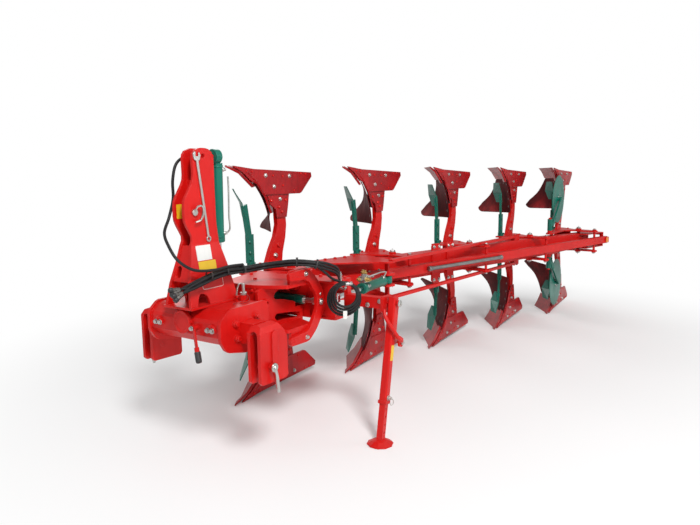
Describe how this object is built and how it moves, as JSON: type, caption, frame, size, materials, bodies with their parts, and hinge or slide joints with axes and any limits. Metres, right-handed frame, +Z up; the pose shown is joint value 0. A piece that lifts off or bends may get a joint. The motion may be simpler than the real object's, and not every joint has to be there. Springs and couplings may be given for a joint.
{
  "type": "reversible plough",
  "caption": "Mounted reversible plough: headstock with turnover shaft, swinging beam, paired mouldboard bodies, skimmers, disc coulters and a parking stand.",
  "frame": {"origin": "on the ground, under the middle of the plough's outline, with the lower shares and the stand's foot on the ground", "axes": "+X to the rear, away from the tractor; +Y to the side that the furrow slices are thrown to; +Z up"},
  "size_m": [6.1712, 2.3342, 1.812],
  "materials": {
    "red_paint": "gloss",
    "red_box": "gloss paint over hollow steel box",
    "green_paint": "gloss",
    "burnished_steel": "satin",
    "bright_steel": "zinc plated",
    "hose_rubber": "satin"
  },
  "bodies": {
    "frame": {"headstock_frame": "red_box", "mast": "red_paint", "link_bracket_left": "red_paint", "link_bracket_right": "red_paint", "main_axle": "bright_steel", "spanner": "bright_steel", "hose_bundle": "hose_rubber"},
    "link_pin": {"top_link_pin": "bright_steel"},
    "lever": {"lock_lever": "red_paint"},
    "latch": {"transport_pin": "bright_steel"},
    "turn_barrel": {"turnover_barrel": "green_paint"},
    "turn_rod": {"turnover_rod": "bright_steel"},
    "hub": {"rollover_hub": "red_box", "landing_yoke": "red_paint", "landing_rod": "bright_steel"},
    "carrier": {"beam_carrier": "red_paint", "landing_barrel": "green_paint", "hose_coil": "hose_rubber"},
    "stand": {"stand_tube": "red_paint"},
    "foot": {"stand_leg": "red_box"},
    "beam": {"main_beam": "red_box"},
    "steering": {"steering_bar": "red_box", "width_spindle": "bright_steel"},
    "width_barrel": {"vario_barrel": "green_paint", "valve_block": "bright_steel"},
    "width_rod": {"vario_rod": "bright_steel"},
    "station_1": {"leg_1": "red_paint", "skimmer_1": "green_paint", "mouldboard_lower_1": "burnished_steel", "mouldboard_upper_1": "burnished_steel", "share_lower_1": "red_paint", "share_upper_1": "red_paint"},
    "station_2": {"leg_2": "red_paint", "skimmer_2": "green_paint", "mouldboard_lower_2": "burnished_steel", "mouldboard_upper_2": "burnished_steel", "share_lower_2": "red_paint", "share_upper_2": "red_paint"},
    "station_3": {"leg_3": "red_paint", "skimmer_3": "green_paint", "mouldboard_lower_3": "burnished_steel", "mouldboard_upper_3": "burnished_steel", "share_lower_3": "red_paint", "share_upper_3": "red_paint"},
    "station_4": {"leg_4": "red_paint", "skimmer_4": "green_paint", "mouldboard_lower_4": "burnished_steel", "mouldboard_upper_4": "burnished_steel", "share_lower_4": "red_paint", "share_upper_4": "red_paint"},
    "station_5": {"leg_5": "red_paint", "skimmer_5": "green_paint", "mouldboard_lower_5": "burnished_steel", "mouldboard_upper_5": "burnished_steel", "share_lower_5": "red_paint", "share_upper_5": "red_paint"},
    "coulter_lower": {"disc_arm_lower": "green_paint"},
    "wheel_lower": {"disc_lower": "green_paint"},
    "coulter_upper": {"disc_arm_upper": "green_paint"},
    "wheel_upper": {"disc_upper": "green_paint"}
  },
  "joints": [
    {"name": "rollover_turn", "type": "hinge", "parent": "frame", "child": "hub", "pos_m": [-2.45263, 0.10862, 0.87], "axis": [1, 0, 0], "range_deg": [0, 180]},
    {"name": "turnover_tilt", "type": "hinge", "parent": "frame", "child": "turn_barrel", "pos_m": [-2.61263, 0.10862, 1.77], "axis": [1, 0, 0], "range_deg": [-14, 0]},
    {"name": "turnover_stroke", "type": "slide", "parent": "turn_barrel", "child": "turn_rod", "axis": [-0.0977, -0.1207, 0.9879], "range_m": [0, 0.24]},
    {"name": "link_pin_pull", "type": "slide", "parent": "frame", "child": "link_pin", "axis": [0, -1, 0], "range_m": [0, 0.12]},
    {"name": "lock_lever_swing", "type": "hinge", "parent": "frame", "child": "lever", "pos_m": [-2.93863, 0.00862, 0.85], "axis": [1, 0, 0], "range_deg": [0, 75]},
    {"name": "latch_pull", "type": "slide", "parent": "frame", "child": "latch", "axis": [0, 0, 1], "range_m": [0, 0.09]},
    {"name": "landing_slide", "type": "slide", "parent": "hub", "child": "carrier", "axis": [0, 1, 0], "range_m": [-0.06, 0.06]},
    {"name": "stand_fold", "type": "hinge", "parent": "carrier", "child": "stand", "pos_m": [-1.89063, -0.64338, 0.862], "axis": [0, 1, 0], "range_deg": [-101.5, 0]},
    {"name": "stand_extend", "type": "slide", "parent": "stand", "child": "foot", "axis": [0.1957, 0, 0.9807], "range_m": [-0.25, 0]},
    {"name": "beam_swing", "type": "hinge", "parent": "carrier", "child": "beam", "pos_m": [-1.99096, 0.42486, 0.87], "axis": [0, 0, 1], "range_deg": [-11.8, 0]},
    {"name": "steering_swing", "type": "hinge", "parent": "carrier", "child": "steering", "pos_m": [-2.04687, 0.23283, 0.87], "axis": [0, 0, 1], "range_deg": [-11.9, 0]},
    {"name": "width_tilt", "type": "hinge", "parent": "beam", "child": "width_barrel", "pos_m": [-1.18263, -0.21138, 0.87], "axis": [0, 0, 1], "range_deg": [-0.85, 0]},
    {"name": "width_stroke", "type": "slide", "parent": "width_barrel", "child": "width_rod", "axis": [-0.998, -0.0632, 0], "range_m": [-0.142, 0]},
    {"name": "station_1_turn", "type": "hinge", "parent": "beam", "child": "station_1", "pos_m": [-1.67412, 0.3326, 0.87], "axis": [0, 0, 1], "range_deg": [0, 11.9]},
    {"name": "station_2_turn", "type": "hinge", "parent": "beam", "child": "station_2", "pos_m": [-0.65412, 0.0356, 0.87], "axis": [0, 0, 1], "range_deg": [0, 11.9]},
    {"name": "station_3_turn", "type": "hinge", "parent": "beam", "child": "station_3", "pos_m": [0.36588, -0.2614, 0.87], "axis": [0, 0, 1], "range_deg": [0, 11.9]},
    {"name": "station_4_turn", "type": "hinge", "parent": "beam", "child": "station_4", "pos_m": [1.38588, -0.5584, 0.87], "axis": [0, 0, 1], "range_deg": [0, 11.9]},
    {"name": "station_5_turn", "type": "hinge", "parent": "beam", "child": "station_5", "pos_m": [2.40588, -0.8554, 0.87], "axis": [0, 0, 1], "range_deg": [0, 11.9]},
    {"name": "disc_swivel_lower", "type": "hinge", "parent": "station_5", "child": "coulter_lower", "pos_m": [1.82737, -0.65938, 0.65], "axis": [0, 0, 1], "range_deg": [-12, 0]},
    {"name": "disc_spin_lower", "type": "hinge", "parent": "coulter_lower", "child": "wheel_lower", "pos_m": [2.18037, -0.65938, 0.372], "axis": [0, 1, 0], "continuous": true},
    {"name": "disc_swivel_upper", "type": "hinge", "parent": "station_5", "child": "coulter_upper", "pos_m": [1.82737, -0.65938, 1.09], "axis": [0, 0, 1], "range_deg": [-12, 0]},
    {"name": "disc_spin_upper", "type": "hinge", "parent": "coulter_upper", "child": "wheel_upper", "pos_m": [2.18037, -0.65938, 1.368], "axis": [0, 1, 0], "continuous": true}
  ],
  "couplings": [
    {"joint": "turnover_tilt", "follows": "rollover_turn", "ratio": -0.077425},
    {"joint": "turnover_stroke", "follows": "rollover_turn", "m_per_rad": 0.0738},
    {"joint": "steering_swing", "follows": "beam_swing", "ratio": 1},
    {"joint": "width_tilt", "follows": "beam_swing", "ratio": 0.0699},
    {"joint": "width_stroke", "follows": "beam_swing", "m_per_rad": 0.6834},
    {"joint": "station_1_turn", "follows": "beam_swing", "ratio": -1},
    {"joint": "station_2_turn", "follows": "beam_swing", "ratio": -1},
    {"joint": "station_3_turn", "follows": "beam_swing", "ratio": -1},
    {"joint": "station_4_turn", "follows": "beam_swing", "ratio": -1},
    {"joint": "station_5_turn", "follows": "beam_swing", "ratio": -1}
  ]
}
